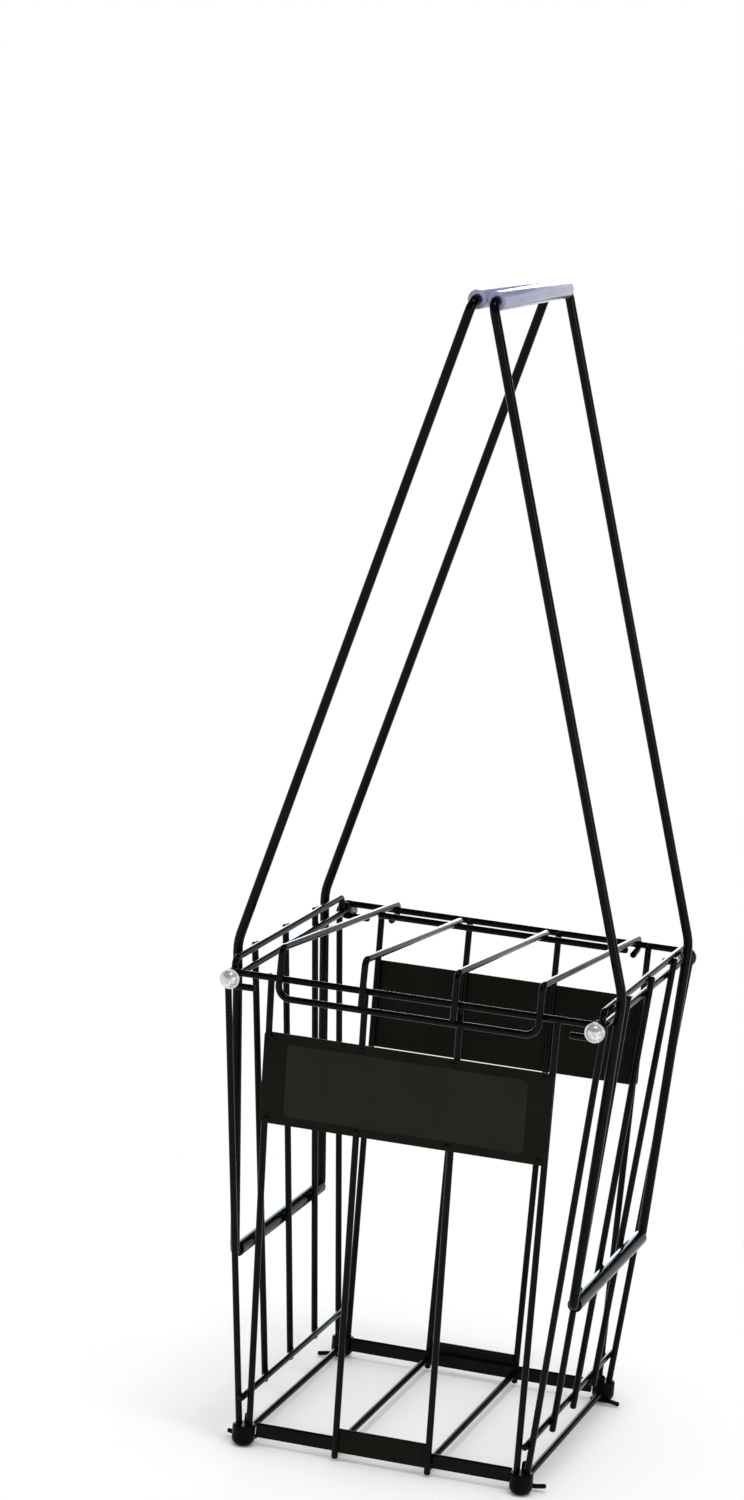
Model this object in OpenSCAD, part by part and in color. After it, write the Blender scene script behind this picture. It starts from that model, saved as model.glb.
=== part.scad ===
// Hand-carried ball hopper: a tapered wire basket that is pressed over balls on the ground, so that
// they squeeze up between the floor bars. Two long wire handles turn about their lower crossbars
// and fold down to become legs. A wire lid hinges on the back rim wire.
// Origin: on the ground, midway between the four feet. +X right, +Y to the back, +Z up.

/* [Basket] */
// Distance between the two tie rods along the rim
rim_width = 270; // [240:1:300]
// Distance between the front and back rim wires
rim_depth = 278; // [264:1:300]
// Height of the tie rods above the ground
rim_height = 350; // [340:1:380]
// Distance between the left and right feet
floor_width = 211; // [200:1:224]
// Distance between the front and back feet
floor_depth = 240; // [236:1:254]

/* [Wire] */
// Diameter of the basket and lid wire
wire_d = 4; // [3:0.1:4.4]
// Diameter of the tie rods
tie_rod_d = 5; // [4:0.1:6]
// Diameter of the floor bars
floor_bar_d = 5; // [4:0.1:6]
// Diameter of the handle rod
handle_rod_d = 6.5; // [5:0.1:8]
// Length of the uprights above the axis of the wire that they are welded to at the top
upright_over = 1; // [0.5:0.1:2]

/* [Front and back panels] */
// Distance between the outer uprights at the rim
upright_span = 212; // [206:1:224]
// Length of the return at each end of a rim wire, from the tie rod
rim_return = 18; // [10:0.5:22]
// Height above the ground of the lower tips of the middle uprights
upright_tip_z = 2; // [0.5:0.5:4]

/* [Side panels] */
// Rise of the side top wire above the tie rod
side_top_rise = 12; // [9:0.5:20]
// Distance between the turned-down ends of the side top wire
side_top_length = 254; // [230:1:256]
// Radius of the bends at the ends of the side top wire
side_top_bend = 5; // [3:0.5:6]
// Distance between neighbouring side uprights at the tie rod
side_pitch_top = 71; // [60:1:80]
// Distance between neighbouring side uprights at the side bottom wire
side_pitch_bottom = 60; // [50:1:70]
// Height of the side bottom wire above the ground
side_wire_z = 37; // [30:1:60]
// Distance between the front and back corner wires at the tie rod
corner_rim_span = 265; // [262:1:267]
// Distance between a corner wire and its neighbouring upright in the foot
corner_pitch = 8; // [7:0.1:9]
// Length of the side bottom wire past the axes of the corner wires
side_wire_over = 6; // [3:0.5:9]
// Length of the side uprights below the axis of the side bottom wire
side_tip = 7; // [3:0.5:10]
// Length of the hooked ends of the corner wires past the tie rod
corner_hook = 3; // [2:0.5:5]

/* [Floor] */
// Height of the fixed floor bars' axes above the ground
floor_bar_z = 8; // [7.5:0.1:9]
// Height of the rolling bars' axes above the ground
roller_z = 10.5; // [10:0.5:12.5]
// Height of the lower edge of the floor rails above the ground
rail_z = 6.5; // [4:0.5:7]
// Height of a floor rail
rail_h = 10.5; // [9:0.5:13]
// Thickness of a floor rail
rail_t = 3.5; // [2:0.1:5]
// Height of a roller plate, up to the top of its rolled edge
roller_plate_h = 18; // [15:0.5:24]
// Thickness of a roller plate
roller_plate_t = 2; // [1:0.1:3]
// Diameter of the rolled upper edge of a roller plate
roller_bead_d = 4.5; // [3.5:0.1:5]
// Diameter of a foot
foot_d = 17; // [16:0.5:18]
// Height of a foot
foot_h = 16; // [15:0.5:20]
// Radius of the rounded lower edge of a foot
foot_round = 6; // [3:0.5:7]
// Radius of the rounded upper edge of a foot
foot_top_round = 1.5; // [0.5:0.1:2]
// Depth of the wire sockets in a foot
foot_socket = 3.5; // [2:0.1:4]
// Depth of a floor bar's end past the middle of the foot
floor_bar_seat = 4; // [1:0.5:6]
// Diameter of the wire of a leg catch
catch_d = 3.5; // [2.5:0.1:4]
// Reach of a leg catch past the floor bar's axis
catch_reach = 16; // [14:0.5:20]
// Length of the turned tip of a leg catch
catch_tip = 8; // [6:0.5:10]
// Rise or drop of the turned tip of a leg catch
catch_turn = 1.4; // [1:0.1:1.8]
// Radius of the bend at the tip of a leg catch
catch_bend = 12; // [6:0.5:20]
// Length of a leg catch inside the floor bar's axis
catch_tail = 7; // [4:0.5:10]

/* [Handles] */
// Distance between the two legs of a handle
handle_width = 206; // [180:1:208]
// Height of the handle hinges above the ground
hinge_z = 139; // [120:1:160]
// Length of a handle's lower legs, from the hinge to the bend
lower_leg = 230.5; // [228:0.5:250]
// Length of a handle's upper legs, from the bend to the grip
upper_leg = 496.5; // [450:0.5:540]
// Bend between the lower and the upper legs, in degrees
leg_bend = 19.8; // [19.5:0.1:21]
// Radius of the bend above the rim
leg_bend_r = 40; // [15:1:80]
// Radius of the bends at the grip
handle_corner_r = 9; // [6:0.5:14]
// Radius of the bends at the hinge
hinge_corner_r = 5; // [4:0.5:8]
// Outer diameter of a hinge tube
hinge_tube_d = 10.8; // [9.5:0.1:12]
// Outer diameter of a grip tube
grip_d = 14; // [11:0.5:17]

/* [Lid] */
// Distance between the outer bars of the lid
lid_width = 192; // [160:1:196]
// Distance between the middle bars of the lid
lid_mid_pitch = 68; // [50:1:80]
// Length of the lid bars in front of the hinge wire
lid_length = 286; // [284:0.5:296]
// Tilt of the closed lid, front up, in degrees
lid_tilt = 4; // [3:0.1:7]
// Drop of the front lip below the lid bars
lid_drop = 36; // [28:0.5:40]
// Distance of the rear bar of the lid in front of the hinge wire
lid_rear_bar_y = 40; // [24:0.5:60]
// Radius of the bends at the ends of the lip
lid_lip_r = 9; // [5:0.5:14]
// Radius of the bends at the front ends of the lid bars
lid_front_r = 5; // [3.5:0.5:8]
// Length of the tails of the lid's hinge hooks
lid_tail = 11; // [7:0.5:16]
// Drop of the tails of the lid's hinge hooks towards their ends
lid_tail_drop = 3; // [0.5:0.5:8]

/* [Sign plates] */
// Width of a sign plate
sign_w = 215; // [213:1:224]
// Height of a sign plate
sign_h = 68; // [66:1:90]
// Thickness of a sign plate
sign_t = 2; // [1:0.1:3]
// Height of the middle of the sign plates above the ground
sign_z = 281; // [200:1:290]
// Radius of the corners of a sign plate
sign_corner_r = 3; // [0.5:0.5:6]
// Width of the label panel
label_w = 179; // [120:1:190]
// Height of the label panel
label_h = 54; // [30:1:55]
// Thickness of the label panel
label_t = 0.5; // [0.2:0.1:1]
// Diameter of a rivet head
rivet_d = 5; // [3:0.1:5.5]
// Height of a rivet head
rivet_h = 1.6; // [0.8:0.1:2.4]
// Distance of the rivets from the upper and lower edges of a sign plate
rivet_edge = 3.5; // [3:0.1:3.8]
// Distance of the outer rivets from the left and right edges of a sign plate
rivet_inset = 6; // [4:0.5:12]

/* [Caps] */
// Diameter of a tie rod cap
cap_d = 14.5; // [10:0.5:18]
// Height of a tie rod cap
cap_h = 6; // [5:0.1:9]
// Thickness of the flange of a tie rod cap
cap_flange = 1.4; // [0.8:0.1:2]
// Width of the flange of a tie rod cap round its dome
cap_brim = 0.8; // [0.4:0.1:2]

/* [Fits] */
// Gap where wires are welded together or bear on each other
weld_gap = 0.05; // [0.02:0.01:0.1]
// Gap round the tie rods in the eyes of the rim wires
rim_eye_gap = 0.4; // [0.2:0.05:0.6]
// Gap between moving pieces
swing_gap = 0.3; // [0.2:0.05:0.4]
// Radial gap round the rolling bars in the floor rails
roller_gap = 0.08; // [0.05:0.01:0.1]

/* [Hidden] */
$fn = 64;
black = [0.06, 0.06, 0.06];
plate_black = [0.09, 0.08, 0.07];
label_grey = [0.15, 0.16, 0.13];
zinc = [0.82, 0.83, 0.82];
clear_blue = [0.75, 0.8, 0.95, 0.45];

// Half sizes of the basket
rim_x = rim_width / 2;
rim_y = rim_depth / 2;
foot_x = floor_width / 2;
foot_y = floor_depth / 2;
leg_y = handle_width / 2;

// Distances between the axes of pieces that cross and touch
weld_pitch = wire_d + weld_gap;
rod_pitch = (tie_rod_d + wire_d) / 2 + weld_gap;
rim_eye_r = (tie_rod_d + wire_d) / 2 + rim_eye_gap;
rim_wire_z = rim_height + rim_eye_r;
rim_seat_y = rim_y + wire_d / 2 + weld_gap;
side_top_z = rim_height + side_top_rise;
socket_z = foot_h - foot_socket;

// The front and back uprights stand inside the rim wires and outside the floor rails
panel_tilt = atan2(rim_y - weld_pitch - foot_y, rim_wire_z - foot_h);
outer_foot_x = foot_x - corner_pitch / 2;
function upright_y(z) = foot_y + (z - foot_h) * tan(panel_tilt);
function outer_x(z) = outer_foot_x
    + (upright_span / 2 - outer_foot_x) * (z - foot_h) / (rim_wire_z - foot_h);

// The side uprights and corner wires stand outside the tie rods
side_foot_x = foot_x + corner_pitch / 2;
side_rim_x = rim_x + rod_pitch;
side_tilt = atan2(side_rim_x - side_foot_x, rim_height - foot_h);
function side_x(z) = side_foot_x
    + (side_rim_x - side_foot_x) * (z - foot_h) / (rim_height - foot_h);
function corner_y(z) = foot_y
    + (corner_rim_span / 2 - foot_y) * (z - foot_h) / (rim_height - foot_h);
function side_pitch(z) = side_pitch_bottom
    + (side_pitch_top - side_pitch_bottom) * (z - side_wire_z) / (rim_height - side_wire_z);
side_top_x = side_x(side_top_z) - weld_pitch;

// Floor: the bars divide the width between the feet into three gaps
roller_x = floor_width / 6;
rail_face_y = upright_y(rail_z) - wire_d / 2 - weld_gap;
roller_half = rail_face_y - weld_gap;
plate_half = roller_x - wire_d / 2 - weld_gap;
catch_y = leg_y + (handle_rod_d + catch_d) / 2 + 2 * swing_gap;

// Hinge of a handle, and the lean at which its lower legs would bear on the side top wire
hinge_x = side_x(hinge_z) + ((wire_d + hinge_tube_d) / 2 + weld_gap) / cos(side_tilt);
hinge_tube_half = leg_y - hinge_corner_r - swing_gap;
stop_offset = [side_top_x - hinge_x, side_top_z - hinge_z];
stop_reach = (handle_rod_d + wire_d) / 2 + swing_gap;
stop_lean = atan2(stop_offset[0], stop_offset[1]) + asin(stop_reach / norm(stop_offset));

// Grip in the handle's own frame, where the hinge is the origin and the lower legs are upright.
// At rest the two grips bear on each other over the middle of the basket.
grip_x = -upper_leg * sin(leg_bend);
grip_z = lower_leg + upper_leg * cos(leg_bend);
grip_half = leg_y - handle_corner_r - weld_gap;
grip_tilt = asin((hinge_x - (grip_d + swing_gap) / 2) / norm([grip_x, grip_z]));
handle_lean = max(stop_lean, atan2(-grip_x, grip_z) - grip_tilt);

// Lid, in the frame of its hinge wire
lid_hook_r = wire_d + swing_gap;
lid_half = lid_width / 2;
lip_z = lid_hook_r - lid_drop;

// Along a wire through the points p: the direction of stretch i, the angle of the bend at its end,
// the side that the bend turns to, and the roll from that side to the next bend's side
function unit(v) = v / norm(v);
function along(p, i) = unit(p[i + 1] - p[i]);
function turn(p, i) = acos(along(p, i) * along(p, i + 1));
function side(p, i) = unit(along(p, i + 1) - along(p, i) * (along(p, i) * along(p, i + 1)));
function carried_side(p, i) = side(p, i) * cos(turn(p, i)) - along(p, i) * sin(turn(p, i));
function roll(p, i) = atan2(
    side(p, i + 1) * cross(along(p, i + 1), carried_side(p, i)),
    side(p, i + 1) * carried_side(p, i)
);
function setback(p, r, i) = r[i] > 0 ? r[i] * tan(turn(p, i - 1) / 2) : 0;
square_within = 0.001;
function straight(p, r, i) = norm(p[i + 1] - p[i]) - setback(p, r, i) - setback(p, r, i + 1);

// A straight round rod from a to b
module rod(a, b, d) {
    v = b - a;
    translate(a)
        rotate([0, acos(v[2] / norm(v)), atan2(v[1], v[0])])
            cylinder(h = norm(v), d = d);
}

// The rest of a bent wire from stretch i on, which starts at the origin along +Z and bends to +X.
// After a bend that isn't square, a ball a hair thicker than the wire joins the bend to the stretch.
module wire_stretch(p, r, d, i) {
    h = straight(p, r, i);
    if (i > 0 && abs(turn(p, i - 1) - 90) > square_within)
        sphere(d = d + 2 * weld_gap);
    if (h > weld_gap / 10)
        cylinder(h = h, d = d);
    if (i + 2 < len(p)) {
        bend_r = r[i + 1];
        translate([bend_r, 0, h]) {
            rotate([90, 0, 180])
                rotate_extrude(angle = turn(p, i))
                    translate([bend_r, 0])
                        circle(d = d);
            rotate([0, turn(p, i), 0])
                translate([-bend_r, 0, 0])
                    rotate([0, 0, i + 3 < len(p) ? roll(p, i) : 0])
                        wire_stretch(p, r, d, i + 1);
        }
    }
}

// A wire through the points p, with a bend of radius r[i] at each inner point i and 0 at both ends
module bent_wire(p, r, d) {
    x = side(p, 0);
    z = along(p, 0);
    y = cross(z, x);
    multmatrix([
        [x[0], y[0], z[0], p[0][0]],
        [x[1], y[1], z[1], p[0][1]],
        [x[2], y[2], z[2], p[0][2]],
        [0, 0, 0, 1]
    ])
        wire_stretch(p, r, d, 0);
}

// A dome of base diameter d and height h on the XY plane
module dome(d, h) {
    ball_r = (d * d / 4 + h * h) / (2 * h);
    rotate_extrude()
        intersection() {
            translate([0, h - ball_r])
                circle(r = ball_r);
            square([d, h]);
        }
}

// A flat rectangle with round corners, centred on the origin
module rounded_rect(w, h, r) {
    square([w - 2 * r, h], center = true);
    square([w, h - 2 * r], center = true);
    for (x = [-1, 1], y = [-1, 1])
        translate([x * (w / 2 - r), y * (h / 2 - r)])
            circle(r = r);
}

// Copies at the left and the right, or at the front and the back
module both_sides() {
    children();
    mirror([1, 0, 0])
        children();
}

module both_ends() {
    children();
    mirror([0, 1, 0])
        children();
}

// Front rim wire: an eye round each tie rod, ending in a short return below the wire
module rim_wire() {
    lower = rim_height - rim_eye_r;
    outer = rim_x + rim_eye_r;
    inner = rim_x - rim_return;
    color(black)
        bent_wire(
            [
                [-inner, -rim_y, lower], [-outer, -rim_y, lower], [-outer, -rim_y, rim_wire_z],
                [outer, -rim_y, rim_wire_z], [outer, -rim_y, lower], [inner, -rim_y, lower]
            ],
            [0, rim_eye_r, rim_eye_r, rim_eye_r, rim_eye_r, 0],
            wire_d
        );
}

// Front uprights: the outer ones run down into the feet, the middle ones past the floor rail
module uprights() {
    top = rim_wire_z + upright_over;
    color(black)
        both_sides() {
            rod(
                [outer_x(socket_z), -upright_y(socket_z), socket_z],
                [outer_x(top), -upright_y(top), top],
                wire_d
            );
            rod(
                [roller_x, -upright_y(upright_tip_z), upright_tip_z],
                [upright_span / 6, -upright_y(top), top],
                wire_d
            );
        }
}

// Right tie rod, which carries the rim wires and the side hooks
module tie_rod() {
    end = rim_seat_y + cap_h / 2;
    color(black)
        rod([rim_x, -end, rim_height], [rim_x, end, rim_height], tie_rod_d);
}

// Push-on caps: a flange and a dome over each end of the tie rods
module rod_caps() {
    color(zinc)
        both_sides()
            both_ends()
                translate([rim_x, -rim_seat_y, rim_height])
                    rotate([90, 0, 0])
                        difference() {
                            union() {
                                cylinder(h = cap_flange, d = cap_d);
                                dome(cap_d - 2 * cap_brim, cap_h);
                            }
                            translate([0, 0, -cap_flange])
                                cylinder(
                                    h = cap_flange + cap_h / 2 + weld_gap,
                                    d = tie_rod_d + 2 * weld_gap
                                );
                        }
}

// Right side top wire, its two ends turned down on the tie rod
module side_top_wire() {
    end_z = rim_height + tie_rod_d / 2 + weld_gap;
    half = side_top_length / 2;
    color(black)
        bent_wire(
            [
                [side_top_x, -half, end_z], [side_top_x, -half, side_top_z],
                [side_top_x, half, side_top_z], [side_top_x, half, end_z]
            ],
            [0, side_top_bend, side_top_bend, 0],
            wire_d
        );
}

// Right side uprights, from the side top wire to below the side bottom wire
module side_uprights() {
    top = side_top_z + upright_over;
    low = side_wire_z - side_tip;
    color(black)
        for (i = [-1, 0, 1])
            rod(
                [side_x(low), i * side_pitch(low), low],
                [side_x(top), i * side_pitch(top), top],
                wire_d
            );
}

// Right corner wires, hooked inwards over the tie rod and seated in the feet
module corner_wires() {
    top = rim_height + rod_pitch;
    color(black)
        both_ends()
            bent_wire(
                [
                    [side_x(socket_z), -corner_y(socket_z), socket_z],
                    [side_x(top), -corner_y(top), top],
                    [rim_x - corner_hook, -corner_y(top), top]
                ],
                [0, rod_pitch, 0],
                wire_d
            );
}

// Right side bottom wire, inside the side uprights and the corner wires
module side_bottom_wire() {
    x = side_x(side_wire_z) - weld_pitch;
    end = corner_y(side_wire_z) + side_wire_over;
    color(black)
        rod([x, -end, side_wire_z], [x, end, side_wire_z], wire_d);
}

// Tube along the Y axis, centred on the origin
module tube(half, outer, bore) {
    translate([0, half, 0])
        rotate([90, 0, 0])
            difference() {
                cylinder(h = 2 * half, d = outer);
                translate([0, 0, -half])
                    cylinder(h = 4 * half, d = bore);
            }
}

// Right hinge tube, on the outside of the side uprights, which holds the two ends of the handle rod
module hinge_tube() {
    color(black)
        translate([hinge_x, 0, hinge_z])
            tube(hinge_tube_half, hinge_tube_d, handle_rod_d + 2 * swing_gap);
}

// Front floor rail: a strip with a round upper edge, bored for the rolling bars
module floor_rail() {
    half = foot_x - foot_d / 2 - weld_gap;
    color(black)
        difference() {
            translate([-half, rail_t / 2 - rail_face_y, rail_z])
                rotate([90, 0, 90])
                    linear_extrude(2 * half) {
                        translate([-rail_t / 2, 0])
                            square([rail_t, rail_h - rail_t / 2]);
                        translate([0, rail_h - rail_t / 2])
                            circle(d = rail_t);
                    }
            both_sides()
                rod(
                    [roller_x, -rail_face_y - rail_t, roller_z],
                    [roller_x, -rail_face_y + 2 * rail_t, roller_z],
                    floor_bar_d + 2 * roller_gap
                );
        }
}

// Front roller plate: between the middle uprights, on the rail, with a rolled upper edge
module roller_plate() {
    bead_z = roller_plate_h - roller_bead_d / 2;
    color(black)
        translate([-plate_half, -rail_face_y - weld_gap - roller_plate_t / 2, rail_z])
            rotate([90, 0, 90])
                linear_extrude(2 * plate_half) {
                    translate([-roller_plate_t / 2, 0])
                        square([roller_plate_t, bead_z]);
                    translate([0, bead_z])
                        circle(d = roller_bead_d);
                }
}

// Right fixed floor bar, its ends seated in the feet
module floor_bar() {
    end = foot_y + floor_bar_seat;
    color(black)
        rod([foot_x, -end, floor_bar_z], [foot_x, end, floor_bar_z], floor_bar_d);
}

// Right rolling bar, held lengthwise between the middle uprights
module roller() {
    color(black)
        rod([roller_x, -roller_half, roller_z], [roller_x, roller_half, roller_z], floor_bar_d);
}

// Leg catches: wires under the fixed floor bars, one outside each leg of a handle that is folded
// down. The tips turn up at the front and down at the back.
module leg_catches() {
    z = floor_bar_z - (floor_bar_d + catch_d) / 2 - weld_gap;
    color(black)
        both_sides()
            for (end = [-1, 1])
                translate([foot_x, end * catch_y, z])
                    bent_wire(
                        [
                            [-catch_tail, 0, 0], [catch_reach - catch_tip, 0, 0],
                            [catch_reach, 0, -end * catch_turn]
                        ],
                        [0, catch_bend, 0],
                        catch_d
                    );
}

// Corner feet: round knobs with sockets for a corner wire, an upright and a floor bar
module corner_feet() {
    r = foot_d / 2;
    over = foot_h + wire_d;
    floor_z = socket_z - weld_gap;
    socket_d = wire_d + 2 * weld_gap;
    color(black)
        both_sides()
            both_ends()
                difference() {
                    translate([foot_x, -foot_y, 0])
                        rotate_extrude() {
                            square([r - foot_round, foot_h]);
                            translate([0, foot_round]) {
                                square([r - foot_top_round, foot_h - foot_round]);
                                square([r, foot_h - foot_round - foot_top_round]);
                            }
                            intersection() {
                                translate([r - foot_round, foot_round])
                                    circle(r = foot_round);
                                square([r, foot_h]);
                            }
                            translate([r - foot_top_round, foot_h - foot_top_round])
                                circle(r = foot_top_round);
                        }
                    rod(
                        [outer_x(floor_z), -upright_y(floor_z), floor_z],
                        [outer_x(over), -upright_y(over), over],
                        socket_d
                    );
                    rod(
                        [side_x(floor_z), -corner_y(floor_z), floor_z],
                        [side_x(over), -corner_y(over), over],
                        socket_d
                    );
                    rod(
                        [foot_x, -foot_y - floor_bar_seat - weld_gap, floor_bar_z],
                        [foot_x, 0, floor_bar_z],
                        floor_bar_d + 2 * weld_gap
                    );
                }
}

// Places a flat piece on the front panel, depth in front of the uprights
module on_panel(depth) {
    translate([0, -upright_y(sign_z), sign_z])
        rotate([90 + panel_tilt, 0, 0])
            translate([0, 0, wire_d / 2 + weld_gap + depth])
                children();
}

// Front sign plate, fixed on the outside of the uprights
module sign_plate() {
    color(plate_black)
        on_panel(0)
            linear_extrude(sign_t)
                rounded_rect(sign_w, sign_h, sign_corner_r);
}

// Bare label panel on the front sign plate
module front_sign_label() {
    color(label_grey)
        on_panel(sign_t)
            linear_extrude(label_t)
                rounded_rect(label_w, label_h, sign_corner_r);
}

// Rivet heads along the upper and lower edges of a sign plate
module sign_rivets() {
    x = sign_w / 2 - rivet_inset;
    y = sign_h / 2 - rivet_edge;
    color(black)
        for (i = [-1, -1 / 3, 1 / 3, 1], side = [-1, 1])
            on_panel(sign_t)
                translate([i * x, side * y, 0])
                    dome(rivet_d, rivet_h);
}

// Places the right handle, leaning on the grip of the other one
module at_right_hinge() {
    translate([hinge_x, 0, hinge_z])
        rotate([0, handle_lean, 0])
            children();
}

// Handle: a loop of rod whose two ends butt in the middle of the hinge tube
module handle_rod() {
    butt_y = weld_gap / 2;
    color(black)
        at_right_hinge()
            bent_wire(
                [
                    [0, -butt_y, 0], [0, -leg_y, 0], [0, -leg_y, lower_leg], [grip_x, -leg_y, grip_z],
                    [grip_x, leg_y, grip_z], [0, leg_y, lower_leg], [0, leg_y, 0], [0, butt_y, 0]
                ],
                [
                    0, hinge_corner_r, leg_bend_r, handle_corner_r,
                    handle_corner_r, leg_bend_r, hinge_corner_r, 0
                ],
                handle_rod_d
            );
}

// Clear tube on the top bar of a handle
module grip() {
    color(clear_blue)
        at_right_hinge()
            translate([grip_x, 0, grip_z])
                tube(grip_half, grip_d, handle_rod_d + 2 * weld_gap);
}

// Places the lid on the back rim wire
module at_lid_hinge() {
    translate([0, rim_y, rim_wire_z])
        rotate([-lid_tilt, 0, 0])
            children();
}

// Outer wire of the lid: a hook over the hinge wire, a bar and a drop on each side, and the lip
module lid_outer_wire() {
    tail_z = -lid_hook_r - lid_tail_drop;
    color(black)
        at_lid_hinge()
            bent_wire(
                [
                    [-lid_half, -lid_tail, tail_z], [-lid_half, lid_hook_r, -lid_hook_r],
                    [-lid_half, lid_hook_r, lid_hook_r], [-lid_half, -lid_length, lid_hook_r],
                    [-lid_half, -lid_length, lip_z], [lid_half, -lid_length, lip_z],
                    [lid_half, -lid_length, lid_hook_r], [lid_half, lid_hook_r, lid_hook_r],
                    [lid_half, lid_hook_r, -lid_hook_r], [lid_half, -lid_tail, tail_z]
                ],
                [
                    0, lid_hook_r, lid_hook_r, lid_front_r, lid_lip_r,
                    lid_lip_r, lid_front_r, lid_hook_r, lid_hook_r, 0
                ],
                wire_d
            );
}

// Middle bars of the lid, from the rear bar to the lip
module lid_middle_bars() {
    back = wire_d / 2 - lid_rear_bar_y;
    color(black)
        at_lid_hinge()
            for (side = [-1, 1])
                translate([side * lid_mid_pitch / 2, 0, 0])
                    bent_wire(
                        [
                            [0, back, lid_hook_r], [0, -lid_length, lid_hook_r],
                            [0, -lid_length, lip_z + wire_d / 2 + weld_gap]
                        ],
                        [0, lid_front_r, 0],
                        wire_d
                    );
}

// Rear bar of the lid, under the other bars
module lid_rear_bar() {
    z = lid_hook_r - weld_pitch;
    end = lid_half + wire_d / 2;
    color(black)
        at_lid_hinge()
            rod([-end, -lid_rear_bar_y, z], [end, -lid_rear_bar_y, z], wire_d);
}

module at_left() {
    mirror([1, 0, 0])
        children();
}

module at_back() {
    mirror([0, 1, 0])
        children();
}

rim_wire();  // front_rim_wire
at_back() rim_wire();  // back_rim_wire
uprights();  // front_uprights
at_back() uprights();  // back_uprights
at_left() tie_rod();  // left_tie_rod
tie_rod();  // right_tie_rod
rod_caps();
at_left() side_top_wire();  // left_side_top_wire
side_top_wire();  // right_side_top_wire
at_left() side_uprights();  // left_side_uprights
side_uprights();  // right_side_uprights
at_left() corner_wires();  // left_corner_wires
corner_wires();  // right_corner_wires
at_left() side_bottom_wire();  // left_side_bottom_wire
side_bottom_wire();  // right_side_bottom_wire
at_left() hinge_tube();  // left_hinge_tube
hinge_tube();  // right_hinge_tube
floor_rail();  // front_floor_rail
at_back() floor_rail();  // back_floor_rail
roller_plate();  // front_roller_plate
at_back() roller_plate();  // back_roller_plate
at_left() floor_bar();  // left_floor_bar
floor_bar();  // right_floor_bar
leg_catches();
corner_feet();
sign_plate();  // front_sign_plate
at_back() sign_plate();  // back_sign_plate
front_sign_label();
sign_rivets();  // front_sign_rivets
at_back() sign_rivets();  // back_sign_rivets
at_left() handle_rod();  // left_handle_rod
at_left() grip();  // left_grip
handle_rod();  // right_handle_rod
grip();  // right_grip
lid_outer_wire();
lid_middle_bars();
lid_rear_bar();
at_left() roller();  // left_roller
roller();  // right_roller
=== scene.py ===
"""Looks of a hand-carried ball hopper: a black enamelled wire basket with two folding wire handles."""

import math

import bmesh
import bpy
from mathutils import Matrix, Vector, noise
from mathutils.bvhtree import BVHTree


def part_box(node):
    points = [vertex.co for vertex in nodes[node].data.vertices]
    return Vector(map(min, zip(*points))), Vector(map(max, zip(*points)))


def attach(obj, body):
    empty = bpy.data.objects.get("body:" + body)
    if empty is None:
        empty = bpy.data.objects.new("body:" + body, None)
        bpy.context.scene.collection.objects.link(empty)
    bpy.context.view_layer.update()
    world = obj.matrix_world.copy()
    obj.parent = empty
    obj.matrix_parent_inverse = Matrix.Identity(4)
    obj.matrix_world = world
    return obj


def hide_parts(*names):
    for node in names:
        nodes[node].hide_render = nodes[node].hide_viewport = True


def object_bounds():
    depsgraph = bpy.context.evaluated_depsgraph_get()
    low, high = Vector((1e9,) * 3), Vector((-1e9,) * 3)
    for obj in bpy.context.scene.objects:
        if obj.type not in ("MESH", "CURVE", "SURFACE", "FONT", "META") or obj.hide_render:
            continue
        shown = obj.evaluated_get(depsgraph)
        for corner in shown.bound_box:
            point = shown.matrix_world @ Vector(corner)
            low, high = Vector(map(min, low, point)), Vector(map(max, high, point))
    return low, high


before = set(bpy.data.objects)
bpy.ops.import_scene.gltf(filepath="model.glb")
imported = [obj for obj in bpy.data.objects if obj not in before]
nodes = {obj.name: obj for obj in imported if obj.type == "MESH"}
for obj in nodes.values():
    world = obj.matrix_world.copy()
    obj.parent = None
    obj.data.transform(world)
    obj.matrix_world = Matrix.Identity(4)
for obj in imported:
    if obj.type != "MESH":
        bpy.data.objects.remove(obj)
cad_low, cad_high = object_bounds()

MM = 0.001
SIDES = ("left", "right")
ENDS = ("front", "back")

# Camera, in metres, fitted to the photograph of 744 x 1500 pixels
CAMERA_PLACE = Vector((0.8263, -3.0916, 1.0695))
CAMERA_TARGET = Vector((-0.0847, 0.0, 0.5025))
CAMERA_ROLL = math.radians(4.57)
IMAGE_HEIGHT = 1500
FOCAL_PIXELS = 4446.1
SENSOR_LENGTH = 36.0

# Lamps: the directions point from the object to the lamps
KEY_TOWARDS = (0.12, -0.15, 1.0)
KEY_STRENGTH = 0.7
KEY_SPREAD = math.radians(14)
SIDE_TOWARDS = (0.9, -0.4, 0.25)
SIDE_STRENGTH = 0.4
SIDE_SPREAD = math.radians(18)
RIM_TOWARDS = (-0.29, 0.94, 0.14)
RIM_STRENGTH = 0.8
RIM_SPREAD = math.radians(30)
WHITE = (1.0, 1.0, 1.0)
SKY_BLUE = (0.76, 0.9, 1.0)

# Studio: a white sweep of paper that ends at a low angle, and a dim ceiling above it
BACKDROP_STRENGTH = 1.0
FILL_STRENGTH = 0.82
CEILING_STRENGTH = 0.04
SWEEP_FADE_START = math.radians(11)
SWEEP_FADE_END = math.radians(17)

# Floor: a disc of paper, in metres, that fades into the white surroundings
FLOOR_RADIUS = 0.75
FLOOR_FADE_START = 0.22
FLOOR_SIDES = 96

# Values that the noise of the materials mostly stays between
NOISE_LOW = 0.3
NOISE_HIGH = 0.7

# Gloss of the enamel, and of the floor bars that the balls have scuffed
ENAMEL_GLOSS = 0.085
WORN_GLOSS = 0.02

# Faint lines along the grip tubes: the noise is stretched along y
VINYL_LINE_STRETCH = (1, 0.03, 1)

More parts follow.
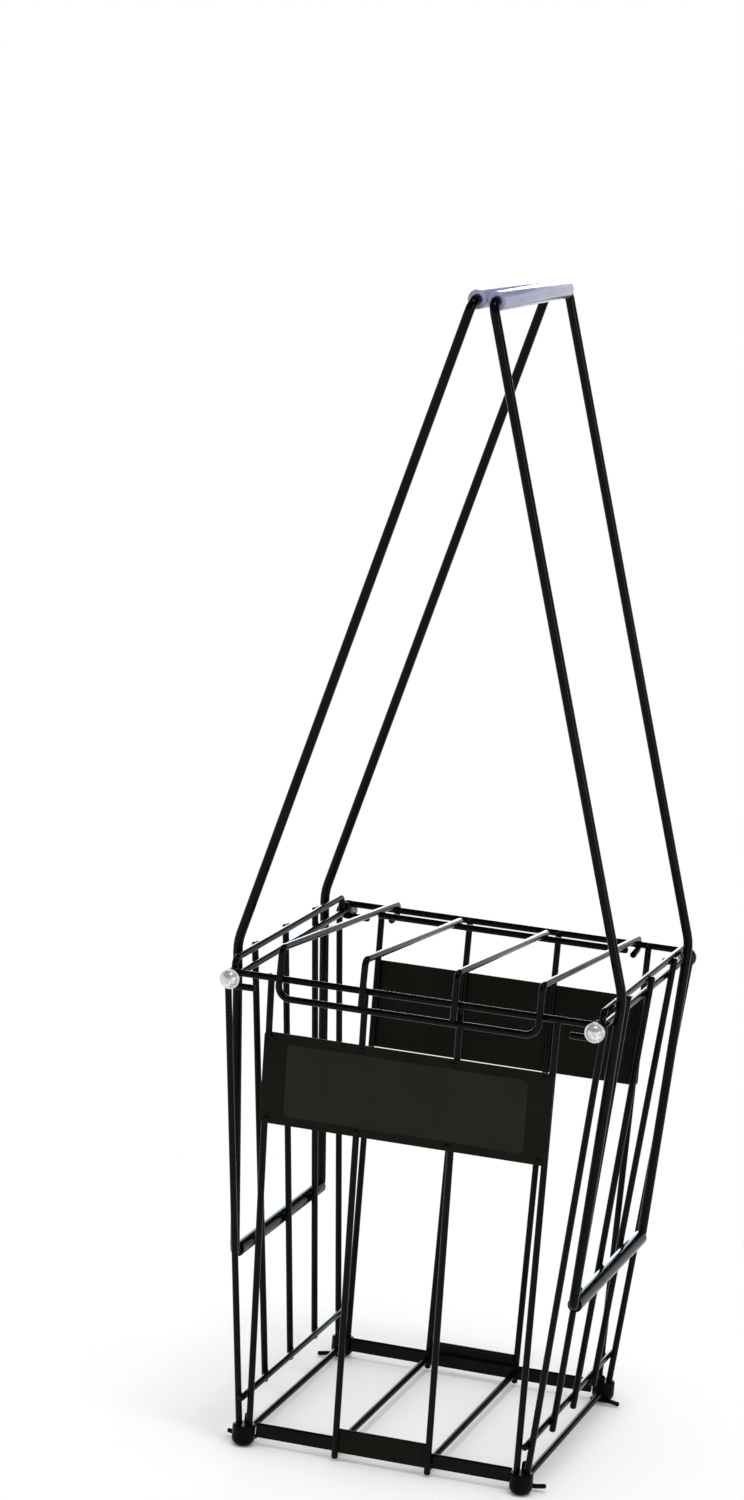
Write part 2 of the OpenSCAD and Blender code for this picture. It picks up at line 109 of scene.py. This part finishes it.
# Welds: nodes within reach of each other are joined, as found by steps along the edges of one of them
WELD_REACH = 0.3 * MM
WELD_STEP = 0.8 * MM
WELD_SPACING = 5.0 * MM
SHORT_EDGE = 3.0 * MM

# Weld beads between wires, and larger ones on the hinge tubes, as radius and half height
WIRE_BEAD = (2.5 * MM, 1.4 * MM)
TUBE_BEAD = (3.2 * MM, 2.0 * MM)
BEAD_SUBDIVISIONS = 3
BEAD_LUMP = 0.18
BEAD_GRAIN = 900.0

# Rounded copies of nodes: edges sharper than this angle are rounded
SHARP_ANGLE = math.radians(50)
ROUND_PROFILE = 0.5
MERGE_DISTANCE = 0.001 * MM

# Coat of enamel on the wires, and their rounded ends
WIRE_COAT = 0.45 * MM
HANDLE_COAT = 0.25 * MM
NO_COAT = 0.0
WIRE_END_ROUND = 1.2 * MM
WIRE_END_STEPS = 4
WIRE_FLAT_ANGLE = math.radians(0.1)

# Ends of the fixed floor bars, turned up behind the wires in the feet
BAR_END_INSET = 10.5 * MM
BAR_END_RISE = 12.0 * MM
BAR_END_LEAN = 1.5 * MM
BAR_END_SIDES = 24

# Grip tubes
HANDLE_ROD_RADIUS = 3.25 * MM
GRIP_BORE_GAP = 0.05 * MM
GRIP_END_ROUND = 1.3 * MM
GRIP_SIDES = 48
GRIP_ROUND_STEPS = 6

# Sign plates
PLATE_EDGE = 0.5 * MM
LABEL_EDGE = 0.2 * MM
PLATE_EDGE_STEPS = 3
PLATE_FLAT_ANGLE = math.radians(1)


def at_each(places, kinds):
    """The names of the nodes of these kinds at each place, such as left and right."""
    return [f"{place}_{kind}" for kind in kinds for place in places]


def pairs_at_each(places, kinds):
    """The names of the pairs of nodes of these kinds at each place."""
    return [(f"{place}_{first}", f"{place}_{second}") for first, second in kinds for place in places]


END_WIRES = ("rim_wire", "uprights")
SIDE_WIRES = ("side_top_wire", "side_uprights", "corner_wires", "side_bottom_wire")
BASKET_WIRES = at_each(ENDS, END_WIRES) + at_each(SIDES, SIDE_WIRES)
LID_WIRES = ("lid_outer_wire", "lid_middle_bars", "lid_rear_bar")
FIXED_BARS = at_each(SIDES, ("floor_bar",))
ROLLING_BARS = at_each(SIDES, ("roller",))

END_WELDS = (
    ("rim_wire", "uprights"),
    ("floor_rail", "uprights"),
)
SIDE_WELDS = (
    ("side_top_wire", "side_uprights"),
    ("side_top_wire", "tie_rod"),
    ("side_bottom_wire", "side_uprights"),
    ("side_bottom_wire", "corner_wires"),
    ("tie_rod", "side_uprights"),
)
CATCH_WELDS = [("leg_catches", bar) for bar in FIXED_BARS]
BASKET_WELDS = pairs_at_each(ENDS, END_WELDS) + pairs_at_each(SIDES, SIDE_WELDS) + CATCH_WELDS
HINGE_WELDS = pairs_at_each(SIDES, [("hinge_tube", "side_uprights")])
LID_WELDS = (
    ("lid_rear_bar", "lid_outer_wire"),
    ("lid_rear_bar", "lid_middle_bars"),
    ("lid_outer_wire", "lid_middle_bars"),
)


def add_camera():
    data = bpy.data.cameras.new("camera")
    data.sensor_width = SENSOR_LENGTH
    data.lens = SENSOR_LENGTH * FOCAL_PIXELS / IMAGE_HEIGHT
    camera = bpy.data.objects.new("camera", data)
    ahead = (CAMERA_TARGET - CAMERA_PLACE).normalized()
    level_right = ahead.cross(Vector((0, 0, 1))).normalized()
    level_up = level_right.cross(ahead)
    right = level_right * math.cos(CAMERA_ROLL) + level_up * math.sin(CAMERA_ROLL)
    up = right.cross(ahead)
    turn = Matrix((right, up, -ahead)).transposed()
    camera.matrix_world = Matrix.Translation(CAMERA_PLACE) @ turn.to_4x4()
    bpy.context.scene.collection.objects.link(camera)
    bpy.context.scene.camera = camera


def add_sun(name, towards, strength, spread, colour):
    data = bpy.data.lights.new(name, "SUN")
    data.energy = strength
    data.angle = spread
    data.color = colour
    lamp = bpy.data.objects.new(name, data)
    lamp.matrix_world = Vector(towards).to_track_quat("Z", "Y").to_matrix().to_4x4()
    bpy.context.scene.collection.objects.link(lamp)


def larger(tree, first, second):
    node = tree.nodes.new("ShaderNodeMath")
    node.operation = "MAXIMUM"
    tree.links.new(first, node.inputs[0])
    tree.links.new(second, node.inputs[1])
    return node.outputs[0]


def smooth_step(tree, value, start, end):
    node = tree.nodes.new("ShaderNodeMapRange")
    node.interpolation_type = "SMOOTHSTEP"
    node.inputs["From Min"].default_value = start
    node.inputs["From Max"].default_value = end
    tree.links.new(value, node.inputs["Value"])
    return node.outputs["Result"]


def mixed(tree, factor, first, second):
    node = tree.nodes.new("ShaderNodeMixShader")
    tree.links.new(factor, node.inputs[0])
    tree.links.new(first, node.inputs[1])
    tree.links.new(second, node.inputs[2])
    return node.outputs[0]


def background(tree, strength):
    node = tree.nodes.new("ShaderNodeBackground")
    node.inputs["Color"].default_value = (*WHITE, 1)
    node.inputs["Strength"].default_value = strength
    return node.outputs[0]


def above_sweep(tree):
    """Factor that is 1 above the white paper sweep round the studio, and 0 on it."""
    heading = tree.nodes.new("ShaderNodeTexCoord").outputs["Generated"]
    axes = tree.nodes.new("ShaderNodeSeparateXYZ")
    tree.links.new(heading, axes.inputs[0])
    return smooth_step(tree, axes.outputs["Z"], math.sin(SWEEP_FADE_START), math.sin(SWEEP_FADE_END))


def add_world():
    """A studio with a white sweep under a dim ceiling, which only reflections show."""
    world = bpy.data.worlds.new("studio")
    world.use_nodes = True
    tree = world.node_tree
    tree.nodes.clear()
    path = tree.nodes.new("ShaderNodeLightPath").outputs
    white = background(tree, BACKDROP_STRENGTH)
    fill = background(tree, FILL_STRENGTH)
    mirrored = mixed(tree, above_sweep(tree), white, background(tree, CEILING_STRENGTH))
    lit = mixed(tree, path["Is Glossy Ray"], fill, mirrored)
    seen = larger(tree, path["Is Camera Ray"], path["Is Transmission Ray"])
    out = tree.nodes.new("ShaderNodeOutputWorld")
    tree.links.new(mixed(tree, seen, lit, white), out.inputs["Surface"])
    bpy.context.scene.world = world


def new_material(name):
    material = bpy.data.materials.new(name)
    material.use_nodes = True
    tree = material.node_tree
    return material, tree, tree.nodes["Principled BSDF"]


def object_place(tree):
    return tree.nodes.new("ShaderNodeTexCoord").outputs["Object"]


def grain(tree, place, scale, detail):
    node = tree.nodes.new("ShaderNodeTexNoise")
    node.inputs["Scale"].default_value = scale
    node.inputs["Detail"].default_value = detail
    tree.links.new(place, node.inputs["Vector"])
    return node.outputs["Fac"]


def spangle(tree, place, scale):
    node = tree.nodes.new("ShaderNodeTexVoronoi")
    node.inputs["Scale"].default_value = scale
    tree.links.new(place, node.inputs["Vector"])
    return node.outputs["Color"]


def shade(tree, factor, dark, pale, start=NOISE_LOW, end=NOISE_HIGH):
    node = tree.nodes.new("ShaderNodeValToRGB")
    first, last = node.color_ramp.elements
    first.position = start
    first.color = (*dark, 1)
    last.position = end
    last.color = (*pale, 1)
    tree.links.new(factor, node.inputs["Fac"])
    return node.outputs["Color"]


def between(tree, factor, low, high):
    node = tree.nodes.new("ShaderNodeMapRange")
    node.inputs["From Min"].default_value = NOISE_LOW
    node.inputs["From Max"].default_value = NOISE_HIGH
    node.inputs["To Min"].default_value = low
    node.inputs["To Max"].default_value = high
    tree.links.new(factor, node.inputs["Value"])
    return node.outputs["Result"]


def relief(tree, height, strength, distance):
    node = tree.nodes.new("ShaderNodeBump")
    node.inputs["Strength"].default_value = strength
    node.inputs["Distance"].default_value = distance
    tree.links.new(height, node.inputs["Height"])
    return node.outputs["Normal"]


def dress(tree, shader, colour, roughness, normal):
    tree.links.new(colour, shader.inputs["Base Color"])
    tree.links.new(roughness, shader.inputs["Roughness"])
    tree.links.new(normal, shader.inputs["Normal"])


def black_enamel(name, gloss):
    """Dip enamel on wire: nearly black, glossy where it isn't worn, with a fine orange peel."""
    material, tree, shader = new_material(name)
    place = object_place(tree)
    cloud = grain(tree, place, scale=55, detail=4)
    haze = grain(tree, place, scale=160, detail=3)
    peel = grain(tree, place, scale=700, detail=2)
    colour = shade(tree, cloud, dark=(0.0012, 0.0012, 0.0013), pale=(0.0032, 0.0032, 0.0035), end=0.75)
    roughness = between(tree, haze, low=0.1, high=0.2)
    normal = relief(tree, peel, strength=0.04, distance=0.1 * MM)
    dress(tree, shader, colour, roughness, normal)
    shader.inputs["Specular IOR Level"].default_value = gloss
    return material


def powder_coat():
    """Brownish black powder coat of the sheet metal, satin with a fine texture."""
    material, tree, shader = new_material("powder_coat")
    place = object_place(tree)
    cloud = grain(tree, place, scale=40, detail=5)
    haze = grain(tree, place, scale=500, detail=2)
    texture = grain(tree, place, scale=1800, detail=3)
    colour = shade(tree, cloud, dark=(0.0054, 0.0043, 0.0024), pale=(0.0088, 0.0072, 0.0043))
    roughness = between(tree, haze, low=0.36, high=0.5)
    normal = relief(tree, texture, strength=0.16, distance=0.12 * MM)
    dress(tree, shader, colour, roughness, normal)
    shader.inputs["Specular IOR Level"].default_value = 0.06
    return material


def label_film():
    """Bare olive grey panel of printed film."""
    material, tree, shader = new_material("label_film")
    place = object_place(tree)
    cloud = grain(tree, place, scale=30, detail=6)
    haze = grain(tree, place, scale=800, detail=2)
    texture = grain(tree, place, scale=2600, detail=2)
    colour = shade(tree, cloud, dark=(0.0115, 0.0128, 0.0072), pale=(0.0155, 0.0172, 0.0102))
    roughness = between(tree, haze, low=0.42, high=0.55)
    normal = relief(tree, texture, strength=0.08, distance=0.08 * MM)
    dress(tree, shader, colour, roughness, normal)
    shader.inputs["Specular IOR Level"].default_value = 0.08
    return material


def zinc():
    """Zinc plate on the pressed caps: bright, with a mottled spangle."""
    material, tree, shader = new_material("zinc")
    place = object_place(tree)
    mottle = spangle(tree, place, scale=700)
    haze = grain(tree, place, scale=500, detail=4)
    dents = grain(tree, place, scale=700, detail=3)
    colour = shade(tree, mottle, dark=(0.5, 0.51, 0.49), pale=(0.86, 0.87, 0.84), start=0.15, end=0.8)
    roughness = between(tree, haze, low=0.26, high=0.42)
    normal = relief(tree, dents, strength=0.25, distance=0.15 * MM)
    dress(tree, shader, colour, roughness, normal)
    shader.inputs["Metallic"].default_value = 0.6
    return material


def clear_vinyl():
    """Clear soft tube, a little milky, with a violet cast and faint lines from its extrusion."""
    material, tree, shader = new_material("clear_vinyl")
    place = object_place(tree)
    stretch = tree.nodes.new("ShaderNodeMapping")
    stretch.inputs["Scale"].default_value = VINYL_LINE_STRETCH
    tree.links.new(place, stretch.inputs["Vector"])
    cloud = grain(tree, place, scale=60, detail=3)
    haze = grain(tree, place, scale=120, detail=2)
    lines = grain(tree, stretch.outputs["Vector"], scale=250, detail=1)
    colour = shade(tree, cloud, dark=(0.46, 0.48, 0.7), pale=(0.6, 0.61, 0.83))
    roughness = between(tree, haze, low=0.1, high=0.16)
    normal = relief(tree, lines, strength=0.03, distance=0.15 * MM)
    dress(tree, shader, colour, roughness, normal)
    shader.inputs["Transmission Weight"].default_value = 0.6
    shader.inputs["IOR"].default_value = 1.42
    return material


def moulded_black():
    """Moulded plastic of the feet: black with a fine spark-eroded grain."""
    material, tree, shader = new_material("moulded_black")
    place = object_place(tree)
    cloud = grain(tree, place, scale=70, detail=4)
    haze = grain(tree, place, scale=400, detail=3)
    sparks = grain(tree, place, scale=1500, detail=2)
    colour = shade(tree, cloud, dark=(0.0014, 0.0014, 0.0014), pale=(0.0036, 0.0036, 0.0036))
    roughness = between(tree, haze, low=0.2, high=0.34)
    normal = relief(tree, sparks, strength=0.14, distance=0.12 * MM)
    dress(tree, shader, colour, roughness, normal)
    shader.inputs["Specular IOR Level"].default_value = 0.045
    return material


def floor_paper():
    """White paper that turns see-through away from the object, so that no edge shows."""
    material, tree, shader = new_material("floor_paper")
    place = object_place(tree)
    fibres = grain(tree, place, scale=900, detail=2)
    colour = shade(tree, fibres, dark=(0.96, 0.96, 0.96), pale=(0.975, 0.975, 0.975))
    tree.links.new(colour, shader.inputs["Base Color"])
    shader.inputs["Roughness"].default_value = 1.0
    shader.inputs["Specular IOR Level"].default_value = 0.0
    distance = tree.nodes.new("ShaderNodeVectorMath")
    distance.operation = "LENGTH"
    tree.links.new(place, distance.inputs[0])
    fade = smooth_step(tree, distance.outputs["Value"], FLOOR_FADE_START, FLOOR_RADIUS)
    clear = tree.nodes.new("ShaderNodeBsdfTransparent").outputs[0]
    paper = mixed(tree, fade, shader.outputs[0], clear)
    tree.links.new(paper, tree.nodes["Material Output"].inputs["Surface"])
    return material


def paint(piece, material):
    piece.data.materials.clear()
    piece.data.materials.append(material)


def new_piece(name, shape, material, body):
    """Turns a bmesh into a smooth piece that rides on a body."""
    mesh = bpy.data.meshes.new(name)
    shape.to_mesh(mesh)
    shape.free()
    mesh.shade_smooth()
    piece = bpy.data.objects.new(name, mesh)
    bpy.context.scene.collection.objects.link(piece)
    paint(piece, material)
    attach(piece, body)
    return piece


def add_floor():
    shape = bmesh.new()
    bmesh.ops.create_circle(shape, cap_ends=True, segments=FLOOR_SIDES, radius=FLOOR_RADIUS)
    mesh = bpy.data.meshes.new("floor")
    shape.to_mesh(mesh)
    shape.free()
    floor = bpy.data.objects.new("floor", mesh)
    floor.location.z = cad_low.z
    bpy.context.scene.collection.objects.link(floor)
    paint(floor, floor_paper())


def mesh_tree(node):
    mesh = nodes[node].data
    corners = [v.co for v in mesh.vertices]
    return BVHTree.FromPolygons(corners, [p.vertices for p in mesh.polygons])


def edge_points(node):
    """Points along the long edges of a node, which run along its wires, and one end of each short edge."""
    mesh = nodes[node].data
    for edge in mesh.edges:
        start, end = (mesh.vertices[i].co for i in edge.vertices)
        length = (end - start).length
        steps = math.ceil(length / WELD_STEP) if length > SHORT_EDGE else 1
        for i in range(steps):
            yield start.lerp(end, i / steps)


def contacts(first, second):
    """Places where two nodes all but touch, each with the direction across the joint."""
    other = mesh_tree(second)
    found = []
    for point in edge_points(first):
        near, normal, _, gap = other.find_nearest(point, WELD_REACH)
        if near is None:
            continue
        middle = (point + near) / 2
        close = next((c for c in found if (c["place"] - middle).length < WELD_SPACING), None)
        if close is None:
            found.append({"place": middle, "across": normal, "gap": gap})
        elif gap < close["gap"]:
            close.update(place=middle, across=normal, gap=gap)
    return found


def add_bead(shape, place, across, bead):
    """A flattened, uneven bead of metal squeezed out round a spot weld."""
    radius, half_height = bead
    turn = across.to_track_quat("Z", "Y").to_matrix()
    made = bmesh.ops.create_icosphere(shape, subdivisions=BEAD_SUBDIVISIONS, radius=1.0)
    for corner in made["verts"]:
        lump = 1 + BEAD_LUMP * noise.noise((place + corner.co * radius) * BEAD_GRAIN)
        flat = Vector((radius, radius, half_height)) * lump
        corner.co = place + turn @ (corner.co * flat)


def add_welds(name, pairs, bead, material, body):
    """One piece with the beads of all welds between these pairs of nodes."""
    shape = bmesh.new()
    for first, second in pairs:
        for contact in contacts(first, second):
            add_bead(shape, contact["place"], contact["across"], bead)
    new_piece(name, shape, material, body)


def rounded_copy(node, flat_angle, radius, steps):
    """A copy of a node's mesh, with its flat faces joined and its sharp edges rounded."""
    shape = bmesh.new()
    shape.from_mesh(nodes[node].data)
    bmesh.ops.remove_doubles(shape, verts=shape.verts, dist=MERGE_DISTANCE)
    bmesh.ops.dissolve_limit(shape, angle_limit=flat_angle, verts=shape.verts, edges=shape.edges)
    sharp = [e for e in shape.edges if e.is_manifold and e.calc_face_angle() > SHARP_ANGLE]
    bmesh.ops.bevel(
        shape, geom=sharp, offset=radius, segments=steps, profile=ROUND_PROFILE, affect="EDGES"
    )
    return shape


def add_enamelled(node, body, coat, material):
    """The wires of a node under their coat of enamel, with the cut ends rounded."""
    shape = rounded_copy(node, WIRE_FLAT_ANGLE, WIRE_END_ROUND, WIRE_END_STEPS)
    bmesh.ops.recalc_face_normals(shape, faces=shape.faces)
    for corner in shape.verts:
        corner.co += corner.normal * coat
    piece = new_piece("enamelled_" + node, shape, material, body)
    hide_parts(node)


def add_eased_plate(node, name, edge, material):
    """The plate of a node with its sharp edges rounded over."""
    shape = rounded_copy(node, PLATE_FLAT_ANGLE, edge, PLATE_EDGE_STEPS)
    piece = new_piece(name, shape, material, "basket")
    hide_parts(node)


def add_bar_end(shape, start, rise, radius):
    """A length of bar with round ends: a ball whose upper half is moved up by the rise."""
    made = bmesh.ops.create_uvsphere(
        shape, u_segments=BAR_END_SIDES, v_segments=BAR_END_SIDES // 2, radius=radius
    )
    for corner in made["verts"]:
        upper = corner.co.z > radius / BAR_END_SIDES
        corner.co += start + rise if upper else start


def add_bar_ends(material):
    """The ends of the fixed floor bars, turned up behind the wires in the feet and cut off round."""
    shape = bmesh.new()
    for node in FIXED_BARS:
        low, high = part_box(node)
        middle = (low + high) / 2
        for end, inwards in ((low.y, 1), (high.y, -1)):
            start = Vector((middle.x, end + inwards * BAR_END_INSET, middle.z))
            rise = Vector((0, inwards * BAR_END_LEAN, BAR_END_RISE))
            add_bar_end(shape, start, rise, (high.z - low.z) / 2)
    new_piece("floor_bar_ends", shape, material, "basket")


def grip_profile(radius, half):
    """Section of a grip tube as distances out and along: over one rounded end, then over the other."""
    bore = HANDLE_ROD_RADIUS + HANDLE_COAT + GRIP_BORE_GAP
    profile = [(bore, half - GRIP_END_ROUND / 2), (bore + GRIP_END_ROUND / 2, half)]
    for i in range(GRIP_ROUND_STEPS + 1):
        angle = math.pi / 2 * (1 - i / GRIP_ROUND_STEPS)
        out = radius - GRIP_END_ROUND + GRIP_END_ROUND * math.cos(angle)
        along = half - GRIP_END_ROUND + GRIP_END_ROUND * math.sin(angle)
        profile.append((out, along))
    return profile + [(out, -along) for out, along in reversed(profile)]


def turned(profile, centre):
    """A closed section turned about a line along y through the centre."""
    shape = bmesh.new()
    rings = []
    for i in range(GRIP_SIDES):
        angle = 2 * math.pi * i / GRIP_SIDES
        spots = [Vector((out * math.cos(angle), along, out * math.sin(angle))) for out, along in profile]
        rings.append([shape.verts.new(centre + spot) for spot in spots])
    for i, ring in enumerate(rings):
        after = rings[(i + 1) % GRIP_SIDES]
        for j in range(len(profile)):
            k = (j + 1) % len(profile)
            shape.faces.new((ring[j], ring[k], after[k], after[j]))
    bmesh.ops.recalc_face_normals(shape, faces=shape.faces)
    return shape


def add_grip(side, material):
    """Clear tube with rounded ends on the top bar of a handle."""
    low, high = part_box(side + "_grip")
    profile = grip_profile((high.x - low.x) / 2, (high.y - low.y) / 2)
    shape = turned(profile, (low + high) / 2)
    piece = new_piece(side + "_grip_tube", shape, material, side + "_handle")
    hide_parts(side + "_grip")


# Stage
bpy.context.scene.view_settings.view_transform = "Standard"
add_camera()
add_world()
add_sun("key", KEY_TOWARDS, KEY_STRENGTH, KEY_SPREAD, WHITE)
add_sun("side", SIDE_TOWARDS, SIDE_STRENGTH, SIDE_SPREAD, WHITE)
add_sun("rim", RIM_TOWARDS, RIM_STRENGTH, RIM_SPREAD, SKY_BLUE)
add_floor()

# Materials, and paint on the solids
enamel = black_enamel("black_enamel", ENAMEL_GLOSS)
worn_enamel = black_enamel("worn_enamel", WORN_GLOSS)
powder = powder_coat()
vinyl = clear_vinyl()
for solid in nodes.values():
    paint(solid, enamel)
for name in FIXED_BARS + ROLLING_BARS:
    paint(nodes[name], worn_enamel)
for end in ENDS:
    paint(nodes[end + "_roller_plate"], powder)
paint(nodes["rod_caps"], zinc())
paint(nodes["corner_feet"], moulded_black())

# Pieces that are added, or that replace a solid
add_welds("basket_welds", BASKET_WELDS, WIRE_BEAD, enamel, "basket")
add_welds("hinge_welds", HINGE_WELDS, TUBE_BEAD, enamel, "basket")
add_welds("lid_welds", LID_WELDS, WIRE_BEAD, enamel, "lid")
for name in BASKET_WIRES:
    add_enamelled(name, "basket", WIRE_COAT, enamel)
for name in LID_WIRES:
    add_enamelled(name, "lid", WIRE_COAT, enamel)
for side in SIDES:
    add_enamelled(side + "_handle_rod", side + "_handle", HANDLE_COAT, enamel)
add_enamelled("leg_catches", "basket", NO_COAT, enamel)
add_bar_ends(worn_enamel)
for side in SIDES:
    add_grip(side, vinyl)
for end in ENDS:
    add_eased_plate(end + "_sign_plate", end + "_plate", PLATE_EDGE, powder)
add_eased_plate("front_sign_label", "front_label", LABEL_EDGE, label_film())
